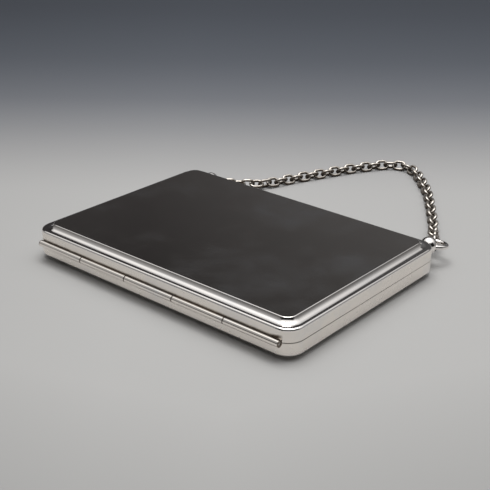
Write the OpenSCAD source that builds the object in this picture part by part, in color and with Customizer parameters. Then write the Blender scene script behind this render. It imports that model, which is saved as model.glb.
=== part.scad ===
// Silver card case with a knuckle hinge, a push-button catch and a link chain.
// The case lies flat: X runs along the hinge, -Y is the hinge side, +Z is up.
// The origin is the middle of the lower panel's flat underside.

/* [Case] */
// Overall width along the hinge, over the side walls
case_w = 100; // [90:1:110]
// Overall depth, over the side walls
case_d = 72; // [64:1:80]
// Overall height, panel face to panel face
case_h = 11; // [10.6:0.1:12]
// Radius of the four corners, at the side walls
corner_r = 5.2; // [5:0.1:6]
// Gap between the two halves along the parting line
parting_gap = 0.12; // [0.1:0.01:0.2]

/* [Sheet and moulding] */
// Thickness of the flat panels
panel_t = 0.6; // [0.5:0.05:0.7]
// Thickness of the side walls
wall_t = 0.8; // [0.6:0.05:0.9]
// Radius of the round edge at the top of the side walls
bead_r = 0.6; // [0.5:0.01:0.7]
// Distance from the case's outside to the cove
ledge_w = 1.3; // [1.2:0.05:1.5]
// Depth of the ledge below the panel's face
ledge_drop = 1.45; // [1.4:0.05:1.6]
// Radius of the hollow cove that climbs to the panel
cove_r = 2.15; // [2:0.05:2.4]
// Radius of the soft edge between the cove and the panel
lip_r = 0.3; // [0.25:0.01:0.35]
// Distance from the case's outside to the flat panel
panel_inset = 3.57; // [3.4:0.01:3.7]
// Radius of the flat panel's corners
panel_corner_r = 2.7; // [2.4:0.1:3]

/* [Hinge] */
// Radius of the hinge knuckles
knuckle_r = 1; // [0.9:0.05:1.1]
// Number of knuckles, always odd
knuckle_count = 5; // [3:2:9]
// Length of the whole row of knuckles
hinge_len = 93.6; // [80:0.2:96]
// Distance of the hinge pin's axis beyond the wall
hinge_out = 0.45; // [0.4:0.05:0.6]
// Radius of the hinge pin
pin_r = 0.5; // [0.4:0.05:0.55]

/* [Lugs and rings] */
// Radius of the pierced ball lugs
ball_r = 2.7; // [2.6:0.1:2.9]
// Distance of the ball lugs from the middle, along the hinge
ball_x = 44.9; // [40:0.1:46]
// Distance of the ball lugs behind the rear wall
ball_out = 3.3; // [3.2:0.1:4]
// Height of the right ball above the parting line
right_ball_rise = 1.2; // [0:0.1:1.4]
// Height of the left ball above the parting line
left_ball_rise = -0.2; // [-0.4:0.1:1]
// Radius of the wire of the two lug rings
ring_wire_r = 0.75; // [0.6:0.05:0.8]
// Mean radius of the two lug rings
ring_r = 3.6; // [3.4:0.1:3.8]
// Slope of the right ring as the case lies, downwards
right_ring_slope = 10; // [8:1:14]
// Slope of the left ring as the case lies, downwards
left_ring_slope = 20; // [18:1:24]
// Largest angle that the chain swings up
chain_travel = 75; // [30:5:80]

/* [Chain] */
// Radius of the wire of the chain links
link_wire_r = 0.5; // [0.47:0.01:0.52]
// Mean radius of the round ends of the chain links
link_r = 1.55; // [1.5:0.01:1.6]
// Mean length of the chain links
link_len = 4.52; // [4.5:0.01:4.56]
// Distance from link to link
link_pitch = 3.38; // [3.36:0.01:3.4]

/* [Catch] */
// Width of the push button
button_w = 5; // [4:0.5:7]
// Height of the push button
button_h = 1.4; // [1.2:0.1:1.5]
// How far the push button stands out of the wall
button_out = 1.2; // [1:0.1:1.4]

/* [Inside] */
// Thickness of the leather linings
lining_t = 0.5; // [0.4:0.05:0.5]
// Clear height inside the card pocket
pocket_h = 4.3; // [4.2:0.1:4.4]
// Thickness of the card pocket's walls
pocket_t = 0.6; // [0.5:0.1:0.8]

/* [Hidden] */
$fn = 64;
cove_faces = 128;
cut = 1; // how far a cutter runs past what it cuts
silver = [0.8, 0.8, 0.81];
bright_silver = [0.88, 0.88, 0.89];
dark_leather = [0.22, 0.14, 0.11];
spring_steel = [0.6, 0.6, 0.62];

// Heights count from the parting line, distances inwards from the side walls' faces.
half_h = case_h / 2;
rear_y = case_d / 2;
half_gap = parting_gap / 2;
ledge_v = half_h - ledge_drop;
bead_v = ledge_v - bead_r;
wall_top = bead_v;
panel_under = half_h - panel_t;
lining_under = panel_under - lining_t;
rebate_w = 0.75;
rebate_in = panel_inset + rebate_w;
wall_in = wall_t;
// The foot of the moulding is solid over this width, and its inside slopes up to the rebate.
foot_in = 2.1;
slope_in = 3.3;
// The panel's corners are rounder than the rim's parallel would be, so the cove turns on a
// circle of its own and the ledge is wider there.
cove_turn_r = panel_inset + panel_corner_r;

// The cove passes through the ledge's inner edge and runs into the round lip.
ledge_edge = [ledge_w, ledge_v];
lip_centre = [panel_inset, half_h - lip_r];
lip_span = norm(lip_centre - ledge_edge);
lip_dir = (lip_centre - ledge_edge) / lip_span;
lip_reach = cove_r + lip_r;
cove_along = (cove_r * cove_r - lip_reach * lip_reach + lip_span * lip_span) / (2 * lip_span);
cove_aside = sqrt(cove_r * cove_r - cove_along * cove_along);
cove_centre = ledge_edge + cove_along * lip_dir + cove_aside * [-lip_dir[1], lip_dir[0]];
lip_meet = cove_centre + (lip_centre - cove_centre) * cove_r / lip_reach;

hinge_y = -(case_d / 2 + hinge_out);
knuckle_pitch = hinge_len / knuckle_count;
knuckle_gap = 0.1;
knuckle_len = knuckle_pitch - knuckle_gap;
swing_gap = 0.15;
pin_play = 0.04;
pin_recess = 0.4;

// The inner bezel lines three sides and guides the lid.
bezel_t = 0.5;
bezel_play = 0.2;
bezel_low = -2.4;
bezel_high = 1.3;
bezel_end_y = -28;
bezel_notch_w = 9;
bezel_in = wall_in + bezel_t;

// The catch: a leaf on the bezel, a tooth on its tongue and a keeper in the lid.
button_v = -1.55;
button_play = 0.1;
button_rest = 0.02;
wall_face_y = rear_y;
wall_back_y = rear_y - wall_in;
leaf_face_y = rear_y - bezel_in;
leaf_t = 0.35;
leaf_w = 22;
leaf_low = -2.4;
leaf_high = -0.2;
tongue_w = 5.2;
tongue_high = 1.6;
tooth_low = 1.05;
tooth_reach = 0.4;
keeper_w = 6.4;
keeper_low = 0.3;
keeper_high = 0.95;
keeper_t = 0.4;
rivet_x = 9;
rivet_v = -1.3;
rivet_r = 0.5;
rivet_head_r = 0.9;
rivet_head_t = 0.3;
collar_rim = 0.6;
collar_t = 0.4;

// The lugs: the chain swings about the line through both drilled holes.
ball_y = rear_y + ball_out;
hole_back = 0.4;
hole_drop = 0.4;
right_hole = [ball_x, ball_y + hole_back, right_ball_rise - hole_drop];
left_hole = [-ball_x, ball_y + hole_back, left_ball_rise - hole_drop];
axis_tilt = atan2(right_hole[2] - left_hole[2], right_hole[0] - left_hole[0]);
hole_r = ring_wire_r + 0.25;
ring_room = 0.15;
// The slot for the ring leaves the hole here, and widens at this rate.
slot_start = 0.7;
slot_flare = 1.15;
slot_step = 0.1;
swing_margin = 3;
neck_r = 0.8;
neck_v = -1.2;
neck_foot = 1;

// Inside fittings.
lining_inset = rebate_in;
pocket_w = 84;
pocket_low_y = -30;
pocket_high_y = 26;
pocket_r = 2.5;
thumb_r = 9;
strap_w = 10;
strap_len = 78;
strap_t = 0.4;
strap_gap = 0.3;
strap_y = 8;
stitch_len = 3;

// The chain's route, from the right ring over the table to the left ring. Links lean either way.
// Heights count from the table, and run is the height of the links as they lie there.
link_lean = 45;
lift = 0.05;
run = link_r * sin(link_lean) + link_wire_r + lift;
route = [
    [42.5, 46.8, 5], [40.2, 50.6, 4], [37.2, 55.8, 2.8],
    [34.1, 61.2, 2], [30.8, 66.5, run], [27.3, 71.6, run], [23.8, 76.8, run],
    [19.7, 82.7, run], [15.4, 88.7, run], [10.7, 94.1, run], [5.3, 99.9, run], [1.1, 103.9, run],
    [-3.5, 106.6, run], [-8.6, 106.2, run], [-12.9, 102.7, run], [-16.3, 97.2, run],
    [-19.5, 91.4, run], [-22.3, 85.2, run], [-25, 78.8, run], [-27.8, 72.3, run],
    [-30.3, 65.9, run], [-32.6, 59.8, 1.75], [-35.1, 54.4, 2.05], [-38.6, 50.2, 2.3],
    [-42.2, 46.2, 2.6]];
spline_steps = 8;
// The links turn upright towards both rings.
end_twist = 45;
twist_links = 6;
first_run_end = 17;
second_run_end = 34;

function blend(a, b, c, d, t) =
    0.5 * (2 * b + (c - a) * t + (2 * a - 5 * b + 4 * c - d) * t * t
        + (3 * b - a - 3 * c + d) * t * t * t);
function knot(i) = route[min(max(i, 0), len(route) - 1)];
path = concat(
    [for (i = [0:len(route) - 2]) for (k = [0:spline_steps - 1])
        blend(knot(i - 1), knot(i), knot(i + 1), knot(i + 2), k / spline_steps)],
    [route[len(route) - 1]]);
travel = [for (i = 0, s = 0; i < len(path);
    s = s + (i + 1 < len(path) ? norm(path[i + 1] - path[i]) : 0), i = i + 1) s];
travel_x = [for (i = [0:len(path) - 1]) [travel[i], path[i][0]]];
travel_y = [for (i = [0:len(path) - 1]) [travel[i], path[i][1]]];
travel_z = [for (i = [0:len(path) - 1]) [travel[i], path[i][2]]];
chain_len = travel[len(travel) - 1];
link_count = round(chain_len / link_pitch) + 1;
link_step = chain_len / (link_count - 1);
function link_place(i) =
    [lookup(i * link_step, travel_x), lookup(i * link_step, travel_y), lookup(i * link_step, travel_z)];
last_link = link_count - 1;
last_side = last_link % 2 == 0 ? 1 : -1;
function link_turn(i) = end_twist
    * (max(0, 1 - i / twist_links) + last_side * max(0, 1 - (last_link - i) / twist_links));

// Moves its children from the parting line's height to the case's own.
module at_parting() {
    translate([0, 0, half_h]) children();
}

// Runs a profile round the case, with corners that turn on circles of radius r.
// The profile's x counts inwards from the side walls' faces.
module frame(r) {
    centre_x = case_w / 2 - r;
    centre_y = case_d / 2 - r;
    for (turn = [0, 180]) rotate(turn) {
        translate([0, centre_y, 0]) rotate([90, 0, 90])
            linear_extrude(2 * centre_x, center = true) facing_out(r) children();
        translate([centre_x, 0, 0]) rotate([90, 0, 0])
            linear_extrude(2 * centre_y, center = true) facing_out(r) children();
        translate([centre_x, centre_y, 0]) rotate_extrude(angle = 90) facing_out(r) children();
        translate([-centre_x, centre_y, 0]) rotate(90) rotate_extrude(angle = 90) facing_out(r) children();
    }
}

module facing_out(r) {
    translate([r, 0]) mirror([1, 0]) children();
}

// A rectangle of a frame's profile, from distance u0 to u1 and from height v0 to v1.
module strip(u0, u1, v0, v1) {
    translate([u0, v0]) square([u1 - u0, v1 - v0]);
}

// A flat plate with the case's outline, drawn in by a distance.
module plate(inset, v0, v1, turn_r = cove_turn_r) {
    r = turn_r - inset;
    half_w = case_w / 2 - inset;
    half_d = case_d / 2 - inset;
    translate([0, 0, v0]) linear_extrude(v1 - v0) {
        square([2 * (half_w - r), 2 * half_d], center = true);
        square([2 * half_w, 2 * (half_d - r)], center = true);
        for (sx = [-1, 1], sy = [-1, 1]) translate([sx * (half_w - r), sy * (half_d - r)]) circle(r);
    }
}

// The rim of the moulded border: a round edge and the ledge behind it.
module rim_profile() {
    strip(bead_r, foot_in, bead_v, ledge_v);
    intersection() {
        translate([bead_r, bead_v]) circle(bead_r);
        strip(-cut, bead_r, bead_v, half_h);
    }
}

// The hollow cove and the round lip, with a rebate for the panel. The foot lies inside the rim.
module cove_profile() {
    foot = cove_centre[0];
    difference() {
        polygon([
            [foot, bead_v], [foot_in, bead_v], [slope_in, lining_under],
            [rebate_in, lining_under], [rebate_in, panel_under], [panel_inset, panel_under],
            lip_centre, lip_meet, [foot, lip_meet[1]]]);
        translate(cove_centre) circle(cove_r, $fn = cove_faces);
    }
    intersection() {
        translate(lip_centre) circle(lip_r);
        translate([panel_inset - cove_r, ledge_v]) square(cove_r);
    }
}

module moulded_border() {
    frame(corner_r) rim_profile();
    frame(cove_turn_r) cove_profile();
}

// The trough in a wall for the knuckles: snug where the wall carries one, wide elsewhere.
module hinge_trough(carried) {
    for (i = [0:knuckle_count - 1])
        translate([-hinge_len / 2 + i * knuckle_pitch, hinge_y, 0]) rotate([0, 90, 0])
            cylinder(h = knuckle_pitch, r = knuckle_r + (i % 2 == carried ? 0 : swing_gap));
}

// One tube of the hinge. Tubes are counted from the left end, from 1.
module knuckle(number, bore_r) {
    translate([-hinge_len / 2 + (number - 1) * knuckle_pitch + knuckle_gap / 2, hinge_y, 0])
        rotate([0, 90, 0]) difference() {
            cylinder(h = knuckle_len, r = knuckle_r);
            translate([0, 0, -cut]) cylinder(h = knuckle_len + 2 * cut, r = bore_r);
        }
}

// A bar with round ends, standing on the plane of the rear wall.
module oblong(w, h, depth) {
    rotate([90, 0, 0]) linear_extrude(depth) {
        square([w - h, h], center = true);
        for (side = [-1, 1]) translate([side * (w - h) / 2, 0]) circle(h / 2);
    }
}

module button_slot() {
    translate([0, rear_y + cut, button_v])
        oblong(button_w + 2 * button_play, button_h + 2 * button_play, bezel_in + 2 * cut);
}

// A round wire ring with its middle at the origin.
module wire_ring(mean_r, wire_r) {
    rotate_extrude() translate([mean_r, 0]) circle(wire_r);
}

// Lays out a lug ring: it passes through the hole and slopes by an angle.
module ring_at(hole, slope, wire_r) {
    translate(hole) rotate([0, -axis_tilt, 0]) rotate([slope, 0, 0])
        translate([0, ring_r, 0]) wire_ring(ring_r, wire_r);
}

// One side of the slot that a ring swings in, as distance from the hole and distance along it.
module slot_side(start) {
    inner = hole_r - 2 * slot_step;
    outer = 2 * ball_r;
    polygon([[inner, start - (hole_r - inner) * slot_flare], [outer, start + (outer - hole_r) * slot_flare],
        [outer, 3 * ball_r], [inner, 3 * ball_r]]);
}

// The room that a ring needs in its ball, from the rest slope to the top of its swing.
module ring_channel(hole, slope) {
    low = slope - swing_margin;
    high = slope + chain_travel + swing_margin;
    translate(hole) rotate([0, -axis_tilt, 0]) {
        rotate([0, 90, 0]) cylinder(h = 4 * ball_r, r = hole_r, center = true);
        for (side = [0, 1]) mirror([side, 0, 0]) {
            rotate([low, 0, 0]) rotate([90, 0, 90]) rotate_extrude(angle = high - low) slot_side(slot_start);
            for (angle = [low, high]) rotate([angle, 0, 0]) rotate(90) mirror([0, 1, 0])
                linear_extrude(2 * (ring_wire_r + ring_room), center = true) slot_side(slot_start - slot_step);
        }
    }
}

// A pierced ball on a neck that rises from the lower wall.
module ball_lug(hole, rise, slope) {
    foot_y = wall_face_y - neck_foot;
    run_y = ball_y - wall_face_y;
    neck_angle = atan2(rise - neck_v, run_y);
    neck_len = run_y / cos(neck_angle);
    difference() {
        union() {
            translate([hole[0], ball_y, rise]) rotate([0, 90, 0]) sphere(ball_r);
            intersection() {
                translate([hole[0], ball_y, rise]) rotate([90 + neck_angle, 0, 0])
                    cylinder(h = neck_len + 2 * neck_foot, r = neck_r);
                translate([hole[0], ball_y, 0]) cube([4 * neck_r, 2 * (ball_y - foot_y), case_h], center = true);
            }
        }
        ring_channel(hole, slope);
        plate(0, -half_h, half_h, corner_r);
    }
}

// A long wire link with round ends, lying along X.
module long_link() {
    straight = link_len / 2 - link_r;
    for (end = [0, 180]) rotate(end) {
        translate([straight, 0, 0]) rotate(-90) rotate_extrude(angle = 180) translate([link_r, 0]) circle(link_wire_r);
        translate([0, link_r, 0]) rotate([0, 90, 0]) cylinder(h = 2 * straight, r = link_wire_r, center = true);
    }
}

// One chain link in its place on the route.
module link(i) {
    here = link_place(i);
    ahead = link_place(min(i + 1, last_link)) - link_place(max(i - 1, 0));
    lean = (i % 2 == 0 ? -link_lean : link_lean) - link_turn(i);
    translate(here) rotate([0, -asin(ahead[2] / norm(ahead)), atan2(ahead[1], ahead[0])])
        rotate([lean, 0, 0]) long_link();
}

module link_run(first, last) {
    for (i = [first:last]) link(i);
}

module wall_band() {
    frame(corner_r) strip(0, wall_in, half_gap, wall_top);
}

// Lower half

module lower_panel() {
    color(silver) at_parting() plate(panel_inset, -half_h, -panel_under);
}

module lower_border() {
    color(bright_silver) at_parting() mirror([0, 0, 1]) moulded_border();
}

module lower_wall() {
    color(silver) at_parting() difference() {
        mirror([0, 0, 1]) wall_band();
        hinge_trough(0);
        button_slot();
    }
}

module inner_bezel() {
    reach = case_w;
    color(silver) at_parting() difference() {
        frame(corner_r) {
            strip(wall_in, bezel_in, bezel_low, -half_gap);
            strip(wall_in + bezel_play, bezel_in, -half_gap, bezel_high);
        }
        translate([-reach / 2, bezel_end_y - reach, -half_h]) cube([reach, reach, case_h]);
        translate([-bezel_notch_w / 2, 0, -half_gap]) cube([bezel_notch_w, rear_y, half_h]);
        button_slot();
        for (side = [-1, 1]) translate([side * rivet_x, wall_back_y + cut, rivet_v])
            rotate([90, 0, 0]) cylinder(h = bezel_t + 2 * cut, r = rivet_r);
    }
}

module lower_lining() {
    color(dark_leather) at_parting() plate(lining_inset, -panel_under, -lining_under);
}

module card_pocket() {
    depth = pocket_high_y - pocket_low_y;
    inner_r = pocket_r - pocket_t;
    color(dark_leather) at_parting() translate([0, 0, -lining_under]) difference() {
        linear_extrude(pocket_h + pocket_t) pocket_outline(pocket_w, depth, pocket_r);
        translate([0, pocket_t, -cut]) linear_extrude(pocket_h + cut)
            pocket_outline(pocket_w - 2 * pocket_t, depth, inner_r);
        translate([0, pocket_high_y, pocket_h - cut]) cylinder(h = pocket_t + 2 * cut, r = thumb_r);
    }
}

// The pocket's outline: round corners at the closed side, square ones at the mouth.
module pocket_outline(w, depth, r) {
    translate([-w / 2, pocket_low_y + r]) square([w, depth - r]);
    translate([-w / 2 + r, pocket_low_y]) square([w - 2 * r, r]);
    for (side = [-1, 1]) translate([side * (w / 2 - r), pocket_low_y + r]) circle(r);
}

module hinge_knuckle_1() {
    color(silver) at_parting() knuckle(1, pin_r);
}

module hinge_knuckle_3() {
    color(silver) at_parting() knuckle(3, pin_r);
}

module hinge_knuckle_5() {
    color(silver) at_parting() knuckle(5, pin_r);
}

module hinge_pin() {
    color(spring_steel) at_parting() translate([0, hinge_y, 0]) rotate([0, 90, 0])
        cylinder(h = hinge_len - 2 * pin_recess, r = pin_r, center = true);
}

module catch_spring() {
    back_y = leaf_face_y - leaf_t;
    color(spring_steel) at_parting() difference() {
        union() {
            translate([-leaf_w / 2, back_y, leaf_low]) cube([leaf_w, leaf_t, leaf_high - leaf_low]);
            translate([-tongue_w / 2, back_y, leaf_low]) cube([tongue_w, leaf_t, tongue_high - leaf_low]);
            translate([-tongue_w / 2, 0, 0]) rotate([90, 0, 90]) linear_extrude(tongue_w)
                polygon([[back_y, tooth_low], [leaf_face_y + tooth_reach, tooth_low], [leaf_face_y, tongue_high],
                    [back_y, tongue_high]]);
        }
        for (side = [-1, 1]) translate([side * rivet_x, leaf_face_y + cut, rivet_v])
            rotate([90, 0, 0]) cylinder(h = leaf_t + 2 * cut, r = rivet_r);
    }
}

module catch_rivets() {
    head_y = leaf_face_y - leaf_t;
    color(spring_steel) at_parting() for (side = [-1, 1]) translate([side * rivet_x, 0, rivet_v]) {
        translate([0, wall_back_y, 0]) rotate([90, 0, 0]) cylinder(h = wall_back_y - head_y, r = rivet_r);
        translate([0, head_y, 0]) rotate([90, 0, 0]) cylinder(h = rivet_head_t, r = rivet_head_r);
    }
}

module button_collar() {
    play = 2 * button_play;
    rim = 2 * collar_rim;
    color(bright_silver) at_parting() difference() {
        translate([0, wall_face_y + collar_t, button_v])
            oblong(button_w + play + rim, button_h + play + rim, collar_t);
        button_slot();
    }
}

module left_ball_lug() {
    color(bright_silver) at_parting() ball_lug(left_hole, left_ball_rise, -left_ring_slope);
}

module right_ball_lug() {
    color(bright_silver) at_parting() ball_lug(right_hole, right_ball_rise, -right_ring_slope);
}

// Lid

module upper_panel() {
    color(silver) at_parting() plate(panel_inset, panel_under, half_h);
}

module upper_border() {
    color(bright_silver) at_parting() moulded_border();
}

module upper_wall() {
    color(silver) at_parting() difference() {
        wall_band();
        hinge_trough(1);
    }
}

module hinge_knuckle_2() {
    color(silver) at_parting() knuckle(2, pin_r + pin_play);
}

module hinge_knuckle_4() {
    color(silver) at_parting() knuckle(4, pin_r + pin_play);
}

module catch_keeper() {
    color(spring_steel) at_parting() translate([-keeper_w / 2, wall_back_y - keeper_t, keeper_low])
        cube([keeper_w, keeper_t, keeper_high - keeper_low]);
}

module upper_lining() {
    color(dark_leather) at_parting() plate(lining_inset, lining_under, panel_under);
}

module retaining_strap() {
    low = lining_under - strap_gap - strap_t;
    inner = strap_len - 2 * stitch_len;
    color(dark_leather) at_parting() translate([0, strap_y, 0]) difference() {
        translate([-strap_len / 2, -strap_w / 2, low]) cube([strap_len, strap_w, lining_under - low]);
        translate([-inner / 2, -strap_w, low + strap_t]) cube([inner, 2 * strap_w, strap_gap + cut]);
    }
}

// Button, rings and chain

module push_button() {
    outer_y = wall_face_y + button_out;
    inner_y = leaf_face_y + button_rest;
    color(bright_silver) at_parting() translate([0, outer_y, button_v])
        oblong(button_w, button_h, outer_y - inner_y);
}

module right_ring() {
    color(bright_silver) at_parting() ring_at(right_hole, -right_ring_slope, ring_wire_r);
}

module left_ring() {
    color(bright_silver) at_parting() ring_at(left_hole, -left_ring_slope, ring_wire_r);
}

module right_end_link() {
    color(bright_silver) link(0);
}

module chain_right_run() {
    color(bright_silver) link_run(1, first_run_end);
}

module chain_far_bend() {
    color(bright_silver) link_run(first_run_end + 1, second_run_end);
}

module chain_left_run() {
    color(bright_silver) link_run(second_run_end + 1, last_link - 1);
}

module left_end_link() {
    color(bright_silver) link(last_link);
}

lower_panel();
lower_border();
lower_wall();
inner_bezel();
lower_lining();
card_pocket();
hinge_knuckle_1();
hinge_knuckle_3();
hinge_knuckle_5();
hinge_pin();
catch_spring();
catch_rivets();
button_collar();
left_ball_lug();
right_ball_lug();
upper_panel();
upper_border();
upper_wall();
hinge_knuckle_2();
hinge_knuckle_4();
catch_keeper();
upper_lining();
retaining_strap();
push_button();
right_ring();
left_ring();
right_end_link();
chain_right_run();
chain_far_bend();
chain_left_run();
left_end_link();
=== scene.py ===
import math

import bmesh
import bpy
from mathutils import Matrix, Vector
from mathutils.noise import noise as noiseAt


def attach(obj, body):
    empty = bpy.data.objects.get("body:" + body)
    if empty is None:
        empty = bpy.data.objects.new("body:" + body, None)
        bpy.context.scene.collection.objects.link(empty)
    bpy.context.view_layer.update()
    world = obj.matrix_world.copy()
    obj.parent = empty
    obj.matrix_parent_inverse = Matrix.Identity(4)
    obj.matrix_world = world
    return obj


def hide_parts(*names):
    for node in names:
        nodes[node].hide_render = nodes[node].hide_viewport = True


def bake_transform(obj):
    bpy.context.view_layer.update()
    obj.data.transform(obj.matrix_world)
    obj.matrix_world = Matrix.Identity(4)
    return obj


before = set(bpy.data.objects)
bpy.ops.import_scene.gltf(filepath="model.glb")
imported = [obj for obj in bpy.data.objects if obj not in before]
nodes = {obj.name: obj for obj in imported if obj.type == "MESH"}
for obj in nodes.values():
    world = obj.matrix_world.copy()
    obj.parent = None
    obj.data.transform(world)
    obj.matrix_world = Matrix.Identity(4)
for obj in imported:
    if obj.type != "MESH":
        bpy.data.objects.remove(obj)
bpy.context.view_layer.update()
print("loaded", len(nodes), "solids of the card case")

mm = 0.001


# Small helpers

def sineOf(angle):
    return math.sin(math.radians(angle))


def cosineOf(angle):
    return math.cos(math.radians(angle))


def addObject(name, data):
    made = bpy.data.objects.new(name, data)
    bpy.context.scene.collection.objects.link(made)
    return made


def newMaterial(name):
    material = bpy.data.materials.new(name)
    material.use_nodes = True
    tree = material.node_tree
    return material, tree, tree.nodes["Principled BSDF"]


def addNode(tree, kind, **values):
    made = tree.nodes.new(kind)
    for key, value in values.items():
        if key in made.inputs:
            made.inputs[key].default_value = value
        else:
            setattr(made, key, value)
    return made


def placed(tree, scale=(1, 1, 1), turn=(0, 0, 0)):
    # object coordinates in metres, stretched and turned
    coord = addNode(tree, "ShaderNodeTexCoord")
    mapping = addNode(tree, "ShaderNodeMapping", Scale=scale, Rotation=turn)
    tree.links.new(coord.outputs["Object"], mapping.inputs["Vector"])
    return mapping.outputs["Vector"]


def noise(tree, vector, scale, detail=3.0, roughness=0.5):
    made = addNode(tree, "ShaderNodeTexNoise", Scale=scale, Detail=detail, Roughness=roughness)
    tree.links.new(vector, made.inputs["Vector"])
    return made.outputs["Fac"]


def remap(tree, value, low, high, toLow=0, toHigh=1):
    made = addNode(tree, "ShaderNodeMapRange")
    sockets = ("From Min", "From Max", "To Min", "To Max")
    for socket, number in zip(sockets, (low, high, toLow, toHigh)):
        made.inputs[socket].default_value = number
    tree.links.new(value, made.inputs["Value"])
    return made.outputs["Result"]


def ease(tree, value, low, high):
    made = addNode(tree, "ShaderNodeMapRange", interpolation_type="SMOOTHSTEP")
    made.inputs["From Min"].default_value = low
    made.inputs["From Max"].default_value = high
    tree.links.new(value, made.inputs["Value"])
    return made.outputs["Result"]


def maths(tree, operation, first, second=0):
    made = addNode(tree, "ShaderNodeMath", operation=operation)
    for socket, value in zip(made.inputs, (first, second)):
        if isinstance(value, (int, float)):
            socket.default_value = value
        else:
            tree.links.new(value, socket)
    return made.outputs["Value"]


def product(tree, first, *others):
    for other in others:
        first = maths(tree, "MULTIPLY", first, other)
    return first


def awayFrom(tree, value, level):
    return maths(tree, "ABSOLUTE", maths(tree, "SUBTRACT", value, level))


def between(tree, value, start, full, fade, end):
    # rises from start to full, stays, and falls again from fade to end
    rising, falling = remap(tree, value, start, full), remap(tree, value, fade, end, 1, 0)
    return maths(tree, "MINIMUM", rising, falling)


def splitAxes(tree, vector):
    made = addNode(tree, "ShaderNodeSeparateXYZ")
    tree.links.new(vector, made.inputs["Vector"])
    return list(made.outputs)


def scaled(tree, vector, factor):
    made = addNode(tree, "ShaderNodeVectorMath", operation="SCALE")
    tree.links.new(vector, made.inputs[0])
    if isinstance(factor, float):
        made.inputs["Scale"].default_value = factor
    else:
        tree.links.new(factor, made.inputs["Scale"])
    return made.outputs["Vector"]


def dotWith(tree, vector, towards):
    made = addNode(tree, "ShaderNodeVectorMath", operation="DOT_PRODUCT")
    tree.links.new(vector, made.inputs[0])
    made.inputs[1].default_value = towards
    return made.outputs["Value"]


def mixColour(tree, factor, first, second):
    made = addNode(tree, "ShaderNodeMix", data_type="RGBA")
    tree.links.new(factor, made.inputs["Factor"])
    for socket, value in ((made.inputs[6], first), (made.inputs[7], second)):
        if isinstance(value, tuple):
            socket.default_value = (*value, 1)
        else:
            tree.links.new(value, socket)
    return made.outputs[2]


def colourRamp(tree, value, interpolation, stops):
    # stops are positions from 0 to 1, each with its colour
    made = addNode(tree, "ShaderNodeValToRGB")
    tree.links.new(value, made.inputs["Fac"])
    made.color_ramp.interpolation = interpolation
    elements = made.color_ramp.elements
    while len(elements) < len(stops):
        elements.new(0.5)
    for element, (position, colour) in zip(elements, stops):
        element.position = position
        element.color = (*colour, 1)
    return made.outputs["Color"]


def bump(tree, shader, height, strength, distance):
    made = addNode(tree, "ShaderNodeBump", Strength=strength, Distance=distance)
    tree.links.new(height, made.inputs["Height"])
    tree.links.new(made.outputs["Normal"], shader.inputs["Normal"])


# Camera, at the photograph's angle

camera = {
    "place": (0.18158, -0.21170, 0.13345),
    "target": (0.002307, 0.002474, 0.006415),
    "roll": 0.704,  # degrees
    "lens": 73.74,
    "sensor": 36,
    "clip": (0.01, 10),
}


def makeCamera(values):
    data = bpy.data.cameras.new("camera")
    data.lens = values["lens"]
    data.sensor_width = values["sensor"]
    data.clip_start, data.clip_end = values["clip"]
    made = addObject("camera", data)
    place = Vector(values["place"])
    back = (place - Vector(values["target"])).normalized()
    right = Vector((0, 0, 1)).cross(back).normalized()
    up = back.cross(right)
    sine, cosine = sineOf(values["roll"]), cosineOf(values["roll"])
    turn = Matrix((cosine * right + sine * up, cosine * up - sine * right, back)).transposed()
    made.matrix_world = Matrix.Translation(place) @ turn.to_4x4()
    bpy.context.scene.camera = made


makeCamera(camera)
print("camera placed")


# Floor: one wide plain sheet, with painted light: pale under the case, darkening far behind it

floor = {
    "radius": 5.0,
    "rings": 10,
    "segments": 96,
    "roughness": 0.85,
    "specular": 0.15,
    "away": (-0.642, 0.767),  # over the floor, away from the camera
    "reach": 1.0,  # the colours are spread from this far in front to this far behind
    # painted light: the floor's colour darkens with distance behind the case
    "colours": [  # distance away from the middle of the case, colour
        (-0.05, (0.475, 0.470, 0.461)),
        (0.06, (0.470, 0.466, 0.458)),
        (0.096, (0.381, 0.376, 0.376)),
        (0.134, (0.270, 0.273, 0.282)),
        (0.18, (0.156, 0.164, 0.183)),
        (0.256, (0.089, 0.098, 0.115)),
        (0.377, (0.064, 0.071, 0.086)),
        (0.62, (0.045, 0.049, 0.060)),
    ],
    "frontShade": {"start": 0.08, "end": 0.13, "level": 0.83, "curve": 0.35},  # painted shade, darker at the front
    "leftShade": {"start": 0.03, "end": 0.15, "level": 0.86},  # and painted shade towards the left
}


def makeFloor(values):
    count = values["segments"]
    mesh = bmesh.new()
    centre = mesh.verts.new((0, 0, 0))
    last = None
    for i in range(1, values["rings"] + 1):
        radius = values["radius"] * (i / values["rings"]) ** 2
        angles = [2 * math.pi * k / count for k in range(count)]
        ring = [mesh.verts.new((radius * math.cos(a), radius * math.sin(a), 0)) for a in angles]
        for k in range(count):
            after = (k + 1) % count
            if last is None:
                mesh.faces.new((centre, ring[k], ring[after]))
            else:
                mesh.faces.new((last[k], ring[k], ring[after], last[after]))
        last = ring
    data = bpy.data.meshes.new("studioFloor")
    mesh.to_mesh(data)
    mesh.free()
    made = addObject("studioFloor", data)
    return made


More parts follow.
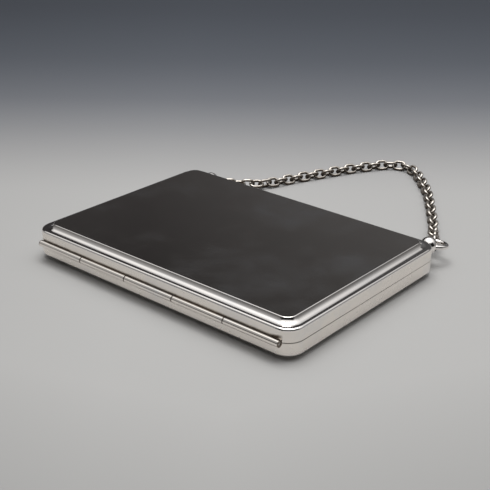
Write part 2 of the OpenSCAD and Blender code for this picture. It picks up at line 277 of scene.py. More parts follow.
def paintFloor(made, values):
    material, tree, shader = newMaterial("floorWithPaintedLight")
    shader.inputs["Roughness"].default_value = values["roughness"]
    shader.inputs["Specular IOR Level"].default_value = values["specular"]
    x, y, z = splitAxes(tree, addNode(tree, "ShaderNodeTexCoord").outputs["Object"])
    awayX, awayY = values["away"]
    away = maths(tree, "ADD", product(tree, x, awayX), product(tree, y, awayY))
    side = maths(tree, "ADD", product(tree, x, awayY), product(tree, y, -awayX))
    reach = values["reach"]
    stops = [(0.5 + 0.5 * distance / reach, colour) for distance, colour in values["colours"]]
    # painted light: pale near the case and darker far behind it
    colour = colourRamp(tree, remap(tree, away, -reach, reach), "B_SPLINE", stops)
    # painted shade: darker at the front and towards the left
    dim = values["frontShade"]
    curve = product(tree, maths(tree, "ABSOLUTE", side), dim["curve"])
    front = maths(tree, "SUBTRACT", curve, away)
    frontLevel = remap(tree, front, dim["start"], dim["end"], 1, dim["level"])
    dim = values["leftShade"]
    leftLevel = remap(tree, side, -dim["start"], -dim["end"], 1, dim["level"])
    dimmed = scaled(tree, colour, product(tree, frontLevel, leftLevel))
    tree.links.new(dimmed, shader.inputs["Base Color"])
    made.data.materials.append(material)


paintFloor(makeFloor(floor), floor)
print("floor made")


# Light: a soft room, brighter overhead, with a dark backdrop, a dark screen and one soft lamp

room = {
    "levels": [  # sine of the height, level
        (0.0, 0.22), (0.17, 0.22), (0.39, 0.27), (0.545, 0.40),
        (0.63, 0.66), (0.75, 0.95), (0.87, 1.25), (0.975, 0.86),
    ],
    "backdrop": {  # degrees round the room and up from the floor
        "towards": 130, "halfWidth": 52, "sideSoft": 8, "top": 34, "topSoft": 3,
        "colour": (0.028, 0.027, 0.028),
        "lighter": {"towards": 90, "from": 46, "to": 15, "colour": (0.078, 0.078, 0.080)},
        "fade": {"from": 19.5, "to": 28, "low": 1.5, "high": 0.8},
    },
    "screen": {
        "towards": 305, "halfWidth": 74, "sideSoft": 12, "top": 50, "topSoft": 8,
        "colour": (0.010, 0.010, 0.010),
    },
    "patch": {
        "towards": (-0.601, -0.541, 0.588), "half": 15, "soft": 13,
        "colour": (0.32, 0.32, 0.32),
    },
}

lamps = {
    "overhead": {"place": (-0.06, 0.10, 0.90), "size": (0.55, 0.55), "power": 4.5},
}


def roundTheRoom(angle):
    return cosineOf(angle), sineOf(angle), 0


def bandCover(tree, band, around, height):
    # how much of the room a band hides in each direction, with soft sides and a soft top
    half, soft = band["halfWidth"], band["sideSoft"]
    facing = dotWith(tree, around, roundTheRoom(band["towards"]))
    wide = ease(tree, facing, cosineOf(half + soft), cosineOf(half - soft))
    top, soft = band["top"], band["topSoft"]
    above = ease(tree, height, sineOf(top - soft), sineOf(top + soft))
    return product(tree, wide, maths(tree, "SUBTRACT", 1, above))


def backdropShade(tree, band, around, height):
    # lighter to one side and towards its foot
    lighter, fade = band["lighter"], band["fade"]
    near = dotWith(tree, around, roundTheRoom(lighter["towards"]))
    share = remap(tree, near, cosineOf(lighter["from"]), cosineOf(lighter["to"]))
    shade = mixColour(tree, share, band["colour"], lighter["colour"])
    level = remap(tree, height, sineOf(fade["from"]), sineOf(fade["to"]), fade["low"], fade["high"])
    return scaled(tree, shade, level)


def makeRoom(values):
    made = bpy.data.worlds.new("room")
    made.use_nodes = True
    tree = made.node_tree
    direction = addNode(tree, "ShaderNodeTexCoord").outputs["Generated"]
    height = splitAxes(tree, direction)[2]
    stops = [(place, (level, level, level)) for place, level in values["levels"]]
    colour = colourRamp(tree, height, "EASE", stops)

    flat = addNode(tree, "ShaderNodeVectorMath", operation="MULTIPLY")
    tree.links.new(direction, flat.inputs[0])
    flat.inputs[1].default_value = (1, 1, 0)
    unit = addNode(tree, "ShaderNodeVectorMath", operation="NORMALIZE")
    tree.links.new(flat.outputs["Vector"], unit.inputs[0])
    around = unit.outputs["Vector"]

    backdrop, screen, patch = values["backdrop"], values["screen"], values["patch"]
    shade = backdropShade(tree, backdrop, around, height)
    colour = mixColour(tree, bandCover(tree, backdrop, around, height), colour, shade)
    colour = mixColour(tree, bandCover(tree, screen, around, height), colour, screen["colour"])
    near = dotWith(tree, direction, Vector(patch["towards"]).normalized())
    outer, inner = cosineOf(patch["half"] + patch["soft"]), cosineOf(patch["half"] - patch["soft"])
    colour = mixColour(tree, ease(tree, near, outer, inner), colour, patch["colour"])
    tree.links.new(colour, tree.nodes["Background"].inputs["Color"])
    bpy.context.scene.world = made


def makeLamps(values):
    for name, lamp in values.items():
        data = bpy.data.lights.new(name, "AREA")
        data.shape = "RECTANGLE"
        data.size, data.size_y = lamp["size"]
        data.energy = lamp["power"]
        made = addObject(name, data)
        made.location = lamp["place"]
        made.rotation_euler = (-Vector(lamp["place"])).to_track_quat("-Z", "Y").to_euler()


makeRoom(room)
makeLamps(lamps)
bpy.context.scene.view_settings.view_transform = "Standard"
print("room and lamp made")


# Silver: one metal, finished in five ways

silver = {
    "colour": (0.925, 0.868, 0.81),
    "haze": (0.80, 0.79, 0.79),  # colour of its cloudy spots
    "hazeLevel": 0.0,  # how much less metallic they are
    "roughness": (0.05, 0.13),
    "scratches": 1.0,
    "brushing": 0.0,
    # colour of dirt in the joints and of painted shade
    "dirtAndShade": (0.10, 0.075, 0.055),
}
clouded = dict(silver, hazeLevel=0.02)
brushed = dict(silver, colour=(0.925, 0.872, 0.815), roughness=(0.24, 0.34), scratches=0.45,
               brushing=1.5)
bright = dict(silver, colour=(0.93, 0.89, 0.86), scratches=0.6)
# on the chain this dark colour is painted shade under the links
handled = dict(silver, colour=(0.66, 0.61, 0.55), haze=(0.56, 0.52, 0.48), roughness=(0.26, 0.42),
               scratches=0.6, dirtAndShade=(0.105, 0.082, 0.064))

wear = {  # the pattern that all of them share
    "clouds": {"scale": 45.0, "detail": 5.0, "roughness": 0.6},
    "glossRange": (0.35, 0.70), "spotRange": (0.52, 0.75), "hazeRange": (0.50, 0.80),
    "scratchWays": [((900, 14, 40), 0.5), ((14, 1100, 40), 0.25)],  # stretch, turn in radians
    "pits": {"scale": 900.0, "roughness": 0.6, "share": 0.6},
    "brushStretch": (25, 25, 1900),
    "strength": 0.25,
    "depth": 0.000015,
    "dirtAndShadeRoughness": 0.22,
}

parting = {
    "level": 5.5 * mm,
    "line": (0.06 * mm, 0.20 * mm),  # dirty up to the first distance, clean from the second
    "reach": (-34 * mm, 26 * mm),  # from the hinge side to the opening side
    "cover": (0.85, 0.10),
    "upright": (0.5, 0.8),
}
hinge = {
    "pitch": 18.72 * mm,
    "joint": (0.10 * mm, 0.32 * mm),
    "jointCover": 0.9,
    "line": (5.0 * mm, 5.6 * mm, 6.75 * mm, 7.3 * mm),  # heights at which its painted shade starts and ends
    "wobble": 0.3 * mm,
    "wobbleScale": 420.0,
    "wobbleStretch": (1, 0.1, 0.1),
    "pocket": (43.0 * mm, 45.8 * mm, 0, 0.7 * mm),  # at the right end the painted shade reaches higher, a painted shadow in the notch
    "front": (-35.5 * mm, -35.95 * mm),
    "end": (47.2 * mm, 48.2 * mm),
}
# painted shade under the lip of the moulding
recess = {
    "height": (4.5 * mm, 4.75 * mm),  # above or below the parting
    "steepness": (0.0, 0.2, 0.5, 0.75),
    "cover": 0.45,
}
# painted shade under the chain links
underside = {
    "patches": {"scale": 700.0, "detail": 4.0, "roughness": 0.6},
    "patchShare": 0.5,
    "turn": (0.55, 1.0),
    "cover": (0.96, 0.05),
}


def hingeGapShade(tree, place):
    # painted shade in the gap where the hinge tubes lie against the walls
    x, y, z = place
    wobble = noise(tree, placed(tree, hinge["wobbleStretch"]), hinge["wobbleScale"])
    height = maths(tree, "ADD", z, product(tree, wobble, hinge["wobble"]))
    height = maths(tree, "SUBTRACT", height, remap(tree, x, *hinge["pocket"]))
    line = between(tree, height, *hinge["line"])
    front = remap(tree, y, *hinge["front"])
    length = remap(tree, maths(tree, "ABSOLUTE", x), *hinge["end"], 1, 0)
    return product(tree, line, front, length)


def partingDirt(tree, place, normal):
    # the thin dark line where the halves meet, strongest towards the hinge
    line = remap(tree, awayFrom(tree, place[2], parting["level"]), *parting["line"], 1, 0)
    reach = remap(tree, place[1], *parting["reach"], *parting["cover"])
    upright = remap(tree, maths(tree, "ABSOLUTE", normal[2]), *parting["upright"], 1, 0)
    return product(tree, line, reach, upright)


def wallDirtAndShade(tree, place, normal):
    # painted shade along the hinge, with the dark parting line where the halves meet
    return maths(tree, "MAXIMUM", hingeGapShade(tree, place), partingDirt(tree, place, normal))


def jointDirt(tree, place, normal):
    # dark lines where one hinge tube meets the next
    pitch = hinge["pitch"]
    turn = maths(tree, "FRACT", maths(tree, "DIVIDE", place[0], pitch))
    away = product(tree, awayFrom(tree, turn, 0.5), pitch)
    return remap(tree, away, *hinge["joint"], hinge["jointCover"], 0)


def recessShade(tree, place, normal):
    # painted shade: the steep foot of the moulding, under the lip, is darkened
    high = remap(tree, awayFrom(tree, place[2], parting["level"]), *recess["height"])
    steep = between(tree, maths(tree, "ABSOLUTE", normal[2]), *recess["steepness"])
    return product(tree, high, steep, recess["cover"])


def undersideShade(tree, place, normal):
    # painted shade: the links are darker where they face down and lighter where they face up, in
    # random patches
    patchy = noise(tree, placed(tree), **underside["patches"])
    upward = maths(tree, "ADD", normal[2], product(tree, patchy, underside["patchShare"]))
    return remap(tree, upward, *underside["turn"], *underside["cover"])


def silverMaterial(name, values, dirtAndShade=None):
    material, tree, shader = newMaterial(name)
    shader.inputs["Metallic"].default_value = 1.0
    cloud = noise(tree, placed(tree), **wear["clouds"])
    gloss = remap(tree, cloud, *wear["glossRange"], *values["roughness"])
    spots = remap(tree, cloud, *wear["spotRange"])
    colour = mixColour(tree, spots, values["colour"], values["haze"])
    # mixes in real dirt on the joints and painted shade from the masks
    if dirtAndShade:
        coord = addNode(tree, "ShaderNodeTexCoord")
        place = splitAxes(tree, coord.outputs["Object"])
        normal = splitAxes(tree, coord.outputs["Normal"])
        cover = dirtAndShade(tree, place, normal)
        colour = mixColour(tree, cover, colour, values["dirtAndShade"])
        gloss = maths(tree, "ADD", gloss, product(tree, cover, wear["dirtAndShadeRoughness"]))
    tree.links.new(colour, shader.inputs["Base Color"])
    tree.links.new(gloss, shader.inputs["Roughness"])
    if values["hazeLevel"] > 0:
        metallic = remap(tree, cloud, *wear["hazeRange"], 1, 1 - values["hazeLevel"])
        tree.links.new(metallic, shader.inputs["Metallic"])
    pits = wear["pits"]
    height = noise(tree, placed(tree), pits["scale"], roughness=pits["roughness"])
    height = product(tree, height, pits["share"])
    for stretch, turn in wear["scratchWays"]:
        hairlines = noise(tree, placed(tree, stretch, (0, 0, turn)), 1.0, 2.0)
        height = maths(tree, "ADD", height, hairlines)
    if values["brushing"] > 0:
        lines = noise(tree, placed(tree, wear["brushStretch"]), 1.0, 2.0)
        height = maths(tree, "ADD", height, product(tree, lines, values["brushing"]))
    bump(tree, shader, height, wear["strength"] * values["scratches"], wear["depth"])
    return material


polished = silverMaterial("polishedSilver", clouded)
wallSilver = silverMaterial("wallSilver", brushed, wallDirtAndShade)
tubeSilver = silverMaterial("tubeSilver", clouded, jointDirt)
moulding = silverMaterial("mouldingSilver", bright, recessShade)
chainSilver = silverMaterial("chainSilver", handled, undersideShade)


# Steel of the pin and the catch

springSteel = {
    "dark": (0.55, 0.55, 0.56), "light": (0.68, 0.67, 0.65),
    "roughness": (0.25, 0.40),
    "brushStretch": (30, 900, 900), "brushRange": (0.3, 0.7),
    "strength": 0.3, "depth": 0.00001,
}


def steelMaterial(name, values):
    material, tree, shader = newMaterial(name)
    shader.inputs["Metallic"].default_value = 1.0
    brush = noise(tree, placed(tree, values["brushStretch"]), 1.0)
    colour = mixColour(tree, brush, values["dark"], values["light"])
    tree.links.new(colour, shader.inputs["Base Color"])
    gloss = remap(tree, brush, *values["brushRange"], *values["roughness"])
    tree.links.new(gloss, shader.inputs["Roughness"])
    bump(tree, shader, brush, values["strength"], values["depth"])
    return material


# Leather and thread

hide = {
    "dark": (0.040, 0.020, 0.013), "light": (0.072, 0.036, 0.023),
    "pores": (0.022, 0.011, 0.008), "worn": (0.15, 0.085, 0.055),
    "specular": 0.3,
    "roughness": (0.40, 0.62),
    "grain": 1900.0, "grainSmoothness": 0.4,
    "warp": 600.0, "warpShift": 0.0006,
    "clouds": 60.0, "cloudRange": (0.3, 0.7),
    "creases": 140.0, "creaseStretch": (1, 2.2, 1), "creaseShare": 0.8,
    "poreRange": (0.35, 0.75, 0, 0.55),  # from, to, and how much they cover there
    "wornRange": (0.54, 0.60, 0, 0.5), "wornPatches": 0.03,
    "glossRange": (0.6, 1.4),
    "strength": 0.45, "depth": 0.00010,
}
waxedThread = {
    "dark": (0.26, 0.165, 0.10), "light": (0.36, 0.25, 0.16), "furrowShade": (0.12, 0.07, 0.045),
    "roughness": (0.5, 0.7),
    "twist": 1900.0, "twistTurn": (0, 0, 0.8), "distortion": 1.5,
    "furrowRange": (0, 0.5, 0.5, 0),
    "patches": 500.0, "patchRange": (0.3, 0.7),
    "strength": 0.4, "depth": 0.00005,
}


def pebbledGrain(tree, values):
    # round pebbles, pushed a little out of their rows
    grain = addNode(tree, "ShaderNodeTexVoronoi", Scale=values["grain"], feature="SMOOTH_F1")
    grain.inputs["Smoothness"].default_value = values["grainSmoothness"]
    wobble = addNode(tree, "ShaderNodeTexNoise", Scale=values["warp"], Detail=2.0)
    tree.links.new(placed(tree), wobble.inputs["Vector"])
    warped = addNode(tree, "ShaderNodeVectorMath", operation="ADD")
    tree.links.new(placed(tree), warped.inputs[0])
    tree.links.new(scaled(tree, wobble.outputs["Color"], values["warpShift"]), warped.inputs[1])
    tree.links.new(warped.outputs["Vector"], grain.inputs["Vector"])
    return grain.outputs["Distance"]


def leatherMaterial(name, values):
    # fine pebbled grain with soft creases, lighter where it is rubbed
    material, tree, shader = newMaterial(name)
    shader.inputs["Specular IOR Level"].default_value = values["specular"]
    pebbles = pebbledGrain(tree, values)
    cloud = noise(tree, placed(tree), values["clouds"], 4.0)
    light = remap(tree, cloud, *values["cloudRange"])
    colour = mixColour(tree, light, values["dark"], values["light"])
    pores = remap(tree, pebbles, *values["poreRange"])
    colour = mixColour(tree, pores, colour, values["pores"])
    edges = addNode(tree, "ShaderNodeNewGeometry").outputs["Pointiness"]
    edges = maths(tree, "ADD", edges, product(tree, cloud, values["wornPatches"]))
    colour = mixColour(tree, remap(tree, edges, *values["wornRange"]), colour, values["worn"])
    tree.links.new(colour, shader.inputs["Base Color"])
    gloss = maths(tree, "ADD", pebbles, cloud)
    gloss = remap(tree, gloss, *values["glossRange"], *values["roughness"])
    tree.links.new(gloss, shader.inputs["Roughness"])
    creases = noise(tree, placed(tree, values["creaseStretch"]), values["creases"], 5.0, 0.6)
    height = maths(tree, "SUBTRACT", product(tree, creases, values["creaseShare"]), pebbles)
    bump(tree, shader, height, values["strength"], values["depth"])
    return material


def threadMaterial(name, values):
    # twisted linen, with painted shade in the furrows between its plies
    material, tree, shader = newMaterial(name)
    wave = addNode(tree, "ShaderNodeTexWave", Scale=values["twist"],
                   Distortion=values["distortion"])
    tree.links.new(placed(tree, turn=values["twistTurn"]), wave.inputs["Vector"])
    twist = wave.outputs["Fac"]
    patchy = noise(tree, placed(tree), values["patches"], 2.0)
    colour = mixColour(tree, patchy, values["dark"], values["light"])
    furrows = remap(tree, twist, *values["furrowRange"])
    colour = mixColour(tree, furrows, colour, values["furrowShade"])
    tree.links.new(colour, shader.inputs["Base Color"])
    gloss = remap(tree, patchy, *values["patchRange"], *values["roughness"])
    tree.links.new(gloss, shader.inputs["Roughness"])
    bump(tree, shader, twist, values["strength"], values["depth"])
    return material


steel = steelMaterial("springSteel", springSteel)
leather = leatherMaterial("darkLeather", hide)
thread = threadMaterial("waxedThread", waxedThread)

finishes = [
    (polished, ["lower_panel", "upper_panel", "inner_bezel"]),
    (tubeSilver, ["hinge_knuckle_1", "hinge_knuckle_2", "hinge_knuckle_3", "hinge_knuckle_4",
                  "hinge_knuckle_5"]),
    (wallSilver, ["lower_wall", "upper_wall"]),
    (moulding, ["lower_border", "upper_border", "push_button", "button_collar",
                "left_ball_lug", "right_ball_lug", "left_ring", "right_ring"]),
    (chainSilver, ["right_end_link", "chain_right_run", "chain_far_bend", "chain_left_run",
                   "left_end_link"]),
    (steel, ["hinge_pin", "catch_spring", "catch_rivets", "catch_keeper"]),
    (leather, ["lower_lining", "upper_lining", "card_pocket", "retaining_strap"]),
]


def dressNodes():
    for material, names in finishes:
        for name in names:
            data = nodes[name].data
            data.materials.clear()
            data.materials.append(material)


dressNodes()
print("materials given to every solid")


# Shared by the leather pieces and the spring; sizes from here on are in millimetres

def vertsAt(mesh, points):
    return [mesh.verts.new((x * mm, y * mm, z * mm)) for x, y, z in points]


def joinLoops(mesh, loops, closed=True):
    for low, high in zip(loops, loops[1:]):
        count = len(low)
        for k in range(count if closed else count - 1):
            after = (k + 1) % count
            mesh.faces.new((low[k], low[after], high[after], high[k]))


def newPiece(name, mesh, material, body, smooth=True):
    data = bpy.data.meshes.new(name)
    bmesh.ops.recalc_face_normals(mesh, faces=mesh.faces)
    for face in mesh.faces:
        face.smooth = smooth
    mesh.to_mesh(data)
    mesh.free()
    made = addObject(name, data)
    data.materials.append(material)
    if body:
        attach(made, body)
    return made


# Stitches of waxed thread

stitch = {
    "length": 1.55, "width": 0.34, "pitch": 2.45,
    "sides": 8, "rings": 7,
    "hump": 0.10, "sunk": 0.06,  # its middle stands up and its ends go in
    "blunt": 2.6,  # higher gives blunter ends
    "tip": 0.01,
}


def evenPoints(path, pitch, closed):
    # places and directions at an even pitch along a path
    line = [Vector(point) for point in path]
    if closed:
        line.append(line[0])
    lengths = [(after - point).length for point, after in zip(line, line[1:])]
    total = sum(lengths)
    count = max(2, round(total / pitch))
    step = total / count
    found = []
    travelled, index = 0.0, 0
    for k in range(count):
        aim = (k + 0.5) * step
        while travelled + lengths[index] < aim and index < len(lengths) - 1:
            travelled += lengths[index]
            index += 1
        share = (aim - travelled) / max(lengths[index], 1e-9)
        place = line[index].lerp(line[index + 1], share)
        found.append((place, (line[index + 1] - line[index]).normalized()))
    return found


def sewStitches(name, path, up, body, closed=True, values=stitch):
    # small humped stitches, sunk at both ends
    mesh = bmesh.new()
    sides, rings = values["sides"], values["rings"]
    for place, along in evenPoints(path, values["pitch"], closed):
        side = Vector(up).cross(along).normalized()
        lift = along.cross(side).normalized()
        if lift.dot(Vector(up)) < 0:
            lift = -lift
        loops = []
        for i in range(rings + 1):
            share = -1 + 2 * i / rings
            full = math.sqrt(max(0.0, 1 - abs(share) ** values["blunt"]))
            radius = values["width"] / 2 * full + values["tip"]
            hump = values["hump"] * (1 - share * share) - values["sunk"]
            centre = place + along * (share * values["length"] / 2) + lift * hump
            angles = [360 * k / sides for k in range(sides)]
            ring = [centre + (side * cosineOf(a) + lift * sineOf(a)) * radius for a in angles]
            loops.append(vertsAt(mesh, ring))
        joinLoops(mesh, loops)
        mesh.faces.new(loops[0])
        mesh.faces.new(loops[-1])
    return newPiece(name, mesh, thread, body)


def grooveProfile(place, depth, near, wide):
    # the soft groove that the stitches pull in: insets and depths across it
    return [(place - wide, 0.0), (place - near, 0.3 * depth), (place, depth),
            (place + near, 0.3 * depth), (place + wide, 0.0)]


# Leather linings of both halves

liningPieces = {
    "lower_lining": {
        "back": 0.6, "face": 1.1, "held": "laid", "restsOn": ["lower_panel"], "body": "base",
    },
    "upper_lining": {
        "back": 10.4, "face": 9.9, "held": "stretched", "restsOn": ["upper_panel"], "body": "lid",
    },
}
liningShape = {
    "half": (45.68, 31.68),
    "corner": 1.95, "sharpest": 0.35,
    "backBevel": (0.12, 0.10),
    "edge": (0.18, 0.16),  # how far its rounded edge reaches in and down
    "groove": 1.3, "grooveDepth": 0.09, "grooveWidths": (0.16, 0.35),  # in from the edge
    "rings": (3.5, 9.0, 18.0, 29.0),
    "perArc": 6, "perSide": 12,
}


def roundedLoop(halfX, halfY, radius, perArc, perSide):
    # points round a rounded rectangle, the same number on every loop
    points = []
    centres = ((1, 1, 0), (-1, 1, 90), (-1, -1, 180), (1, -1, 270))
    for index, (signX, signY, start) in enumerate(centres):
        centreX, centreY = signX * (halfX - radius), signY * (halfY - radius)
        angles = [start + 90 * k / perArc for k in range(perArc + 1)]
        points += [(centreX + radius * cosineOf(a), centreY + radius * sineOf(a)) for a in angles]
        nextX, nextY, turn = centres[(index + 1) % 4]
        onX = nextX * (halfX - radius) + radius * cosineOf(start + 90)
        onY = nextY * (halfY - radius) + radius * sineOf(start + 90)
        endX, endY = points[-1]
        shares = [k / perSide for k in range(1, perSide)]
        points += [(endX + (onX - endX) * share, endY + (onY - endY) * share) for share in shares]
    return points


def makeLining(name, values, shape):
    halfX, halfY = shape["half"]
    face, back = values["face"], values["back"]
    into = 1 if back > face else -1
    thick = abs(face - back)
    edgeIn, edgeDown = shape["edge"]
    backIn, backDown = shape["backBevel"]
    groove, depth = shape["groove"], shape["grooveDepth"]
    perArc, perSide = shape["perArc"], shape["perSide"]
    # how far in from the edge, and how deep below the face
    profile = [(backIn, thick), (0.0, thick - backDown), (0.0, edgeDown), (0.3 * edgeIn, 0.05),
               (edgeIn, 0.0)]
    profile += grooveProfile(groove, depth, *shape["grooveWidths"])
    profile += [(inset, 0.0) for inset in shape["rings"]]
    mesh = bmesh.new()
    loops = []
    for inset, deep in profile:
        radius = max(shape["corner"] - inset, shape["sharpest"])
        loop = roundedLoop(halfX - inset, halfY - inset, radius, perArc, perSide)
        loops.append(vertsAt(mesh, [(x, y, face + into * deep) for x, y in loop]))
    joinLoops(mesh, loops)
    mesh.faces.new(loops[0])
    mesh.faces.new(loops[-1])
    made = newPiece(name + "_leather", mesh, leather, values["body"])
    loop = roundedLoop(halfX - groove, halfY - groove, shape["corner"] - groove, perArc, perSide)
    path = [(x, y, face + into * depth) for x, y in loop]
    sewn = sewStitches(name + "_stitches", path, (0, 0, -into), values["body"])
    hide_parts(name)


# Card pocket: leather moulded over a card's height and open at the mouth, with a thumb cut

cardPocket = {
    "half": 42.0, "low": -30.0, "mouth": 26.0, "corner": 2.5,
    "base": 1.1, "top": 6.0, "thick": 0.6,
    "foot": 1.6, "shoulder": 0.8,
    "thumb": 9.0, "thumbEdge": 0.6,
    "groove": 1.75, "grooveDepth": 0.10, "grooveWidths": (0.18, 0.40),
    "turnedEdge": 1.7, "turnedRise": 0.13, "turnedLip": 0.3, "turnedStep": 0.25, "lipDrop": 0.1,
    "sag": 0.22, "ripple": 0.05, "rippleScale": 0.09,
    "edgeRows": (0.0, 0.12, 0.3, 1.0), "stepRow": 0.12,  # rows of points behind the mouth
    "seamRow": 3, "seamSunk": 0.05,
    "rows": (3.2, 5.0, 8.0, 11.0, 15.0, 19.0, 24.0, 29.0, 34.0, 39.0, 44.0, 48.0, 51.0),
    "cornerSteps": 4, "sideSteps": 10, "thumbSteps": 24,
}
farBehind = 99.0  # stands for any row that is clear of the mouth


def pocketCorner(values, inset, angles):
    radius = values["corner"] - inset
    centreX, centreY = values["half"] - values["corner"], values["low"] + values["corner"]
    return [(centreX + radius * cosineOf(a), centreY - radius * sineOf(a)) for a in angles]


def pocketSide(values, inset, turn, gaps):
    # down one side from the mouth, then half of the rounded corner; turn is -1 left, 1 right
    steps = values["cornerSteps"]
    points = [(values["half"] - inset, values["mouth"] - gap) for gap in gaps]
    points += pocketCorner(values, inset, [45 * k / steps for k in range(steps + 1)])
    return [(turn * x, y) for x, y in points]


def pocketFront(values, inset, columns):
    steps = values["cornerSteps"]
    arc = pocketCorner(values, inset, [90 - 45 * k / steps for k in range(1, steps + 1)])
    middle = [(x, values["low"] + inset) for x in columns]
    return [(-x, y) for x, y in reversed(arc)] + middle + arc


def pocketOutline(values, inset, columns, gaps):
    left = pocketSide(values, inset, -1, gaps)
    right = pocketSide(values, inset, 1, gaps)
    return left + pocketFront(values, inset, columns)[1:-1] + right[::-1]


def pocketHeight(values, x, y, gap):
    # the flat top sags a little towards its mouth, and its turned edge stands up
    share = max(0.0, (y - values["low"]) / (values["mouth"] - values["low"]))
    away = max(0.0, 1 - (x / values["half"]) ** 2)
    sag = values["sag"] * away * share ** 1.5
    scale = values["rippleScale"]
    ripple = values["ripple"] * away * noiseAt(Vector((x * scale, y * scale, 3.0)))
    lip, edge = values["turnedLip"], values["turnedEdge"]
    if gap < lip:
        rise = 1 - (1 - gap / lip) ** 2
    elif gap < edge:
        rise = 1.0
    else:
        rise = max(0.0, 1 - (gap - edge) / values["turnedStep"])
    drop = values["lipDrop"] if gap <= 0 else 0
    return values["top"] - sag + ripple + values["turnedRise"] * rise - drop


def pocketPatch(values, inset, columns, gaps):
    # a patch stretched between the two sides, the front and the mouth with its thumb cut
    left = pocketSide(values, inset, -1, gaps)
    right = pocketSide(values, inset, 1, gaps)
    front = pocketFront(values, inset, columns)
    centreX, reach = values["half"] - values["corner"], values["half"] - inset
    steps, thumb = values["cornerSteps"], values["thumb"]
    ends = [reach + (centreX - reach) * k / steps for k in range(steps)]
    mouthX = [-x for x in ends] + list(columns) + ends[::-1]
    mouth = [(x, values["mouth"] - (math.sqrt(thumb ** 2 - x * x) if abs(x) < thumb else 0.0))
             for x in mouthX]
    top, low = left[0][1], left[-1][1]
    rows = []
    for j in range(len(left)):
        down = (top - left[j][1]) / (top - low)
        gap = top - left[j][1] if j < len(gaps) else farBehind
        row = []
        for i in range(len(front)):
            over = (mouthX[i] - mouthX[0]) / (mouthX[-1] - mouthX[0])
            point = []
            for axis in (0, 1):
                along = (1 - down) * mouth[i][axis] + down * front[i][axis]
                across = (1 - over) * left[j][axis] + over * right[j][axis]
                corner = ((1 - down) * ((1 - over) * mouth[0][axis] + over * mouth[-1][axis])
                          + down * ((1 - over) * front[0][axis] + over * front[-1][axis]))
                point.append(along + across - corner)
            row.append((*point, gap))
        rows.append(row)
    return rows


def pocketColumns(values):
    # places across the pocket, closer together in the thumb cut
    thumb, centreX = values["thumb"], values["half"] - values["corner"]
    steps, thumbSteps = values["sideSteps"], values["thumbSteps"]
    near = thumb + values["thumbEdge"]
    wide = [centreX + (near - centreX) * k / steps for k in range(steps + 1)]
    inside = [thumb * cosineOf(180 * k / thumbSteps) for k in range(thumbSteps + 1)]
    return [-x for x in wide] + [-x for x in inside] + wide[::-1]


def pocketGaps(values):
    # distances behind the mouth, closer together at the turned edge
    edge, step = values["turnedEdge"], values["turnedStep"]
    gaps = [*values["edgeRows"], edge, edge + values["stepRow"], edge + step, *values["rows"]]
    straight = values["mouth"] - values["low"] - values["corner"]
    return [gap for gap in gaps if gap < straight - 0.01]


def makePocket(values):
    columns, gaps = pocketColumns(values), pocketGaps(values)
    base, top, shoulder = values["base"], values["top"], values["shoulder"]
    groove, depth = values["groove"], values["grooveDepth"]
    near, wide = values["grooveWidths"]
    profile = [(0.0, base), (0.0, base + values["foot"]), (0.0, top - shoulder)]
    profile += [(shoulder * (1 - cosineOf(angle)), top - shoulder * (1 - sineOf(angle)))
                for angle in (22.5, 45, 67.5, 90)]
    profile += [(inset, top - deep) for inset, deep in grooveProfile(groove, depth, near, wide)]
    mesh = bmesh.new()
    loops = []
    for inset, height in profile:
        outline = pocketOutline(values, inset, columns, gaps)
        loops.append(vertsAt(mesh, [(x, y, height) for x, y in outline]))
    joinLoops(mesh, loops, closed=False)

    rows = pocketPatch(values, groove + wide, columns, gaps)
    edge = loops[-1]
    lastRow, lastColumn = len(rows) - 1, len(rows[0]) - 1
    steps = values["cornerSteps"]
    grid = []
    for j, row in enumerate(rows):
        line = []
        for i, (x, y, gap) in enumerate(row):
            if i == 0:
                line.append(edge[j])
            elif i == lastColumn:
                line.append(edge[len(edge) - 1 - j])
            elif j == lastRow:
                line.append(edge[lastRow + i])
            else:
                share = min(1.0, i / steps, (lastColumn - i) / steps, (lastRow - j) / 2)
                height = top + share * (pocketHeight(values, x, y, gap) - top)
                line += vertsAt(mesh, [(x, y, height)])
        grid.append(line)
    joinLoops(mesh, grid, closed=False)
    made = newPiece("card_pocket_leather", mesh, leather, "base")
    solid = made.modifiers.new("thickness", "SOLIDIFY")
    solid.thickness = values["thick"] * mm
    solid.offset = -1
    solid.use_even_offset = True

    path = [(x, y, top - depth) for x, y in pocketOutline(values, groove, columns, gaps)]
    sewn = [sewStitches("card_pocket_stitches", path, (0, 0, 1), "base", closed=False)]
    seam = rows[values["seamRow"]][steps:-steps]
    path = [(x, y, pocketHeight(values, x, y, gap) - values["seamSunk"]) for x, y, gap in seam]
    sewn.append(sewStitches("card_pocket_mouth_stitches", path, (0, 0, 1), "base", closed=False))
    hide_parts("card_pocket")


# Retaining strap: sewn down at both ends and a little slack between them

strap = {
    "half": (39.0, 5.0), "along": 8.0, "thick": 0.4,
    "sewn": 9.7, "free": 9.4,  # height of its middle where it is sewn and where it is free
    "sewnLength": 3.0, "bend": 3.5, "bendSteps": 8,
    "line": 0.95, "endLine": 1.1,  # stitches in from its sides and ends
    "lineSteps": 40, "endSteps": 4,
    "grooveHalf": 0.33, "grooveLevel": 0.8,  # as a share of half its thickness
    "corner": 0.8,
    "ends": (0.0, 0.12, 0.35, 0.8, 1.6),  # places in from its ends
    "middles": (26.0, 20.0, 14.0, 8.0, 3.0),
    "edgeRound": (0.05, 0.16),
    "thinEnd": 0.55,
}


def strapLevel(values, x):
    share = (values["half"][0] - values["sewnLength"] - abs(x)) / values["bend"]
    share = min(max(share, 0.0), 1.0)
    share = share * share * (3 - 2 * share)
    return values["sewn"] + (values["free"] - values["sewn"]) * share


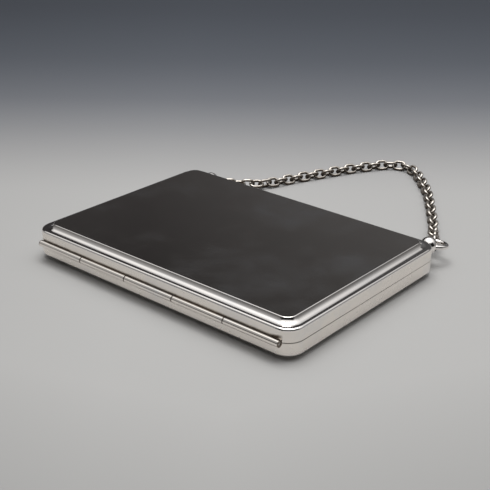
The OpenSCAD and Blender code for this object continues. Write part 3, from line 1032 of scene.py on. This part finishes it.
def strapSection(values, half):
    # across the strap: places from its middle, and heights as a share of half its thickness
    line, grooveHalf = values["line"], values["grooveHalf"]
    first, second = values["edgeRound"]
    under = [(half, -0.45), (half - first, -0.8), (half - second, -1.0),
             (half - line + grooveHalf, -1.0), (half - line, -values["grooveLevel"]),
             (half - line - grooveHalf, -1.0), (0.4 * half, -1.0)]
    over = [(half, 0.45), (half - second, 1.0), (0.4 * half, 1.0)]
    return (under + [(-y, z) for y, z in reversed(under)]
            + [(-y, z) for y, z in over] + list(reversed(over)))


def strapPlaces(values):
    halfX = values["half"][0]
    sewnEnd = halfX - values["sewnLength"]
    steps = values["bendSteps"]
    places = [halfX - end for end in values["ends"]]
    places += [sewnEnd - values["bend"] * k / steps for k in range(steps + 1)]
    places += values["middles"]
    return [-x for x in places] + places[::-1]


def makeStrap(values):
    halfX, halfY = values["half"]
    thick, radius = values["thick"] / 2, values["corner"]
    mesh = bmesh.new()
    loops = []
    for x in strapPlaces(values):
        end = halfX - abs(x)
        narrow = radius - math.sqrt(max(0.0, radius ** 2 - (radius - min(end, radius)) ** 2))
        flat = thick * (values["thinEnd"] if end < 0.05 else 1.0)
        level = strapLevel(values, x)
        section = strapSection(values, halfY - narrow)
        points = [(x, values["along"] + y, level + flat * z) for y, z in section]
        loops.append(vertsAt(mesh, points))
    joinLoops(mesh, loops)
    mesh.faces.new(loops[0])
    mesh.faces.new(loops[-1])
    made = newPiece("retaining_strap_leather", mesh, leather, "lid")
    inX, inY = halfX - values["endLine"], halfY - values["line"]
    corners = [(-inX, -inY), (inX, -inY), (inX, inY), (-inX, inY)]
    path = []
    for (fromX, fromY), (toX, toY) in zip(corners, corners[1:] + corners[:1]):
        count = values["lineSteps"] if fromY == toY else values["endSteps"]
        for k in range(count):
            x = fromX + (toX - fromX) * k / count
            y = values["along"] + fromY + (toY - fromY) * k / count
            path.append((x, y, strapLevel(values, x) - values["grooveLevel"] * thick))
    sewn = sewStitches("retaining_strap_stitches", path, (0, 0, -1), "lid")
    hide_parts("retaining_strap")


for name, values in liningPieces.items():
    makeLining(name, values, liningShape)
makePocket(cardPocket)
makeStrap(strap)
print("leather pieces made")


# Catch spring: a leaf riveted at both ends, made in two halves

leafSpring = {
    "face": 34.7, "back": 34.35,
    "low": 3.1, "high": 5.3,
    "columns": [0.0, 0.9, 1.8, 2.6, 3.0, 3.5, 4.2, 5.0, 5.8, 6.6, 7.4, 8.2, 9.6, 10.6, 11.0],
    "tongue": 2.6, "tip": 7.1,
    "tooth": 6.55, "reach": 35.1,
    "bend": (8.2, 3.2),  # two places along the leaf
    "rounding": 0.06,
    "sharp": 0.6,  # edges with more than this turn, in radians, are rounded
}


def makeLeafHalf(name, turn, values):
    mesh = bmesh.new()
    face, back, low, high = values["face"], values["back"], values["low"], values["high"]
    footLine = [(back, high), (back, low), (face, low), (face, high)]
    tongueLine = [(face, values["tooth"]), (values["reach"], values["tooth"]),
                  (face, values["tip"]), (back, values["tip"])]
    lastFoot = lastTongue = None
    for x in values["columns"]:
        foot = vertsAt(mesh, [(turn * x, y, z) for y, z in footLine])
        tongue = None
        if x <= values["tongue"]:
            tongue = [foot[3], *vertsAt(mesh, [(turn * x, y, z) for y, z in tongueLine]), foot[0]]
        if lastFoot:
            joinLoops(mesh, [lastFoot, foot], closed=False)
            if tongue:
                joinLoops(mesh, [lastTongue, tongue], closed=False)
            else:
                mesh.faces.new((lastFoot[3], foot[3], foot[0], lastFoot[0]))
                if lastTongue:
                    mesh.faces.new(lastTongue)
        else:
            mesh.faces.new(foot[1:3] + tongue)
        lastFoot, lastTongue = foot, tongue
    mesh.faces.new(lastFoot)
    # every sharp edge is rounded, but not where the halves meet
    weights = mesh.edges.layers.float.new("bevel_weight_edge")
    for edge in mesh.edges:
        outside = max(abs(vert.co.x) for vert in edge.verts) > 1e-6
        if outside and edge.calc_face_angle(0) > values["sharp"]:
            edge[weights] = 1.0
    made = newPiece(name, mesh, steel, None, smooth=False)
    rounded = made.modifiers.new("edges", "BEVEL")
    rounded.limit_method = "WEIGHT"
    rounded.width = values["rounding"] * mm
    rounded.segments = 2
    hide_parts("catch_spring")
    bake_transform(made)


for name, turn in (("catch_spring_left", -1), ("catch_spring_right", 1)):
    makeLeafHalf(name, turn, leafSpring)
print("catch spring made")
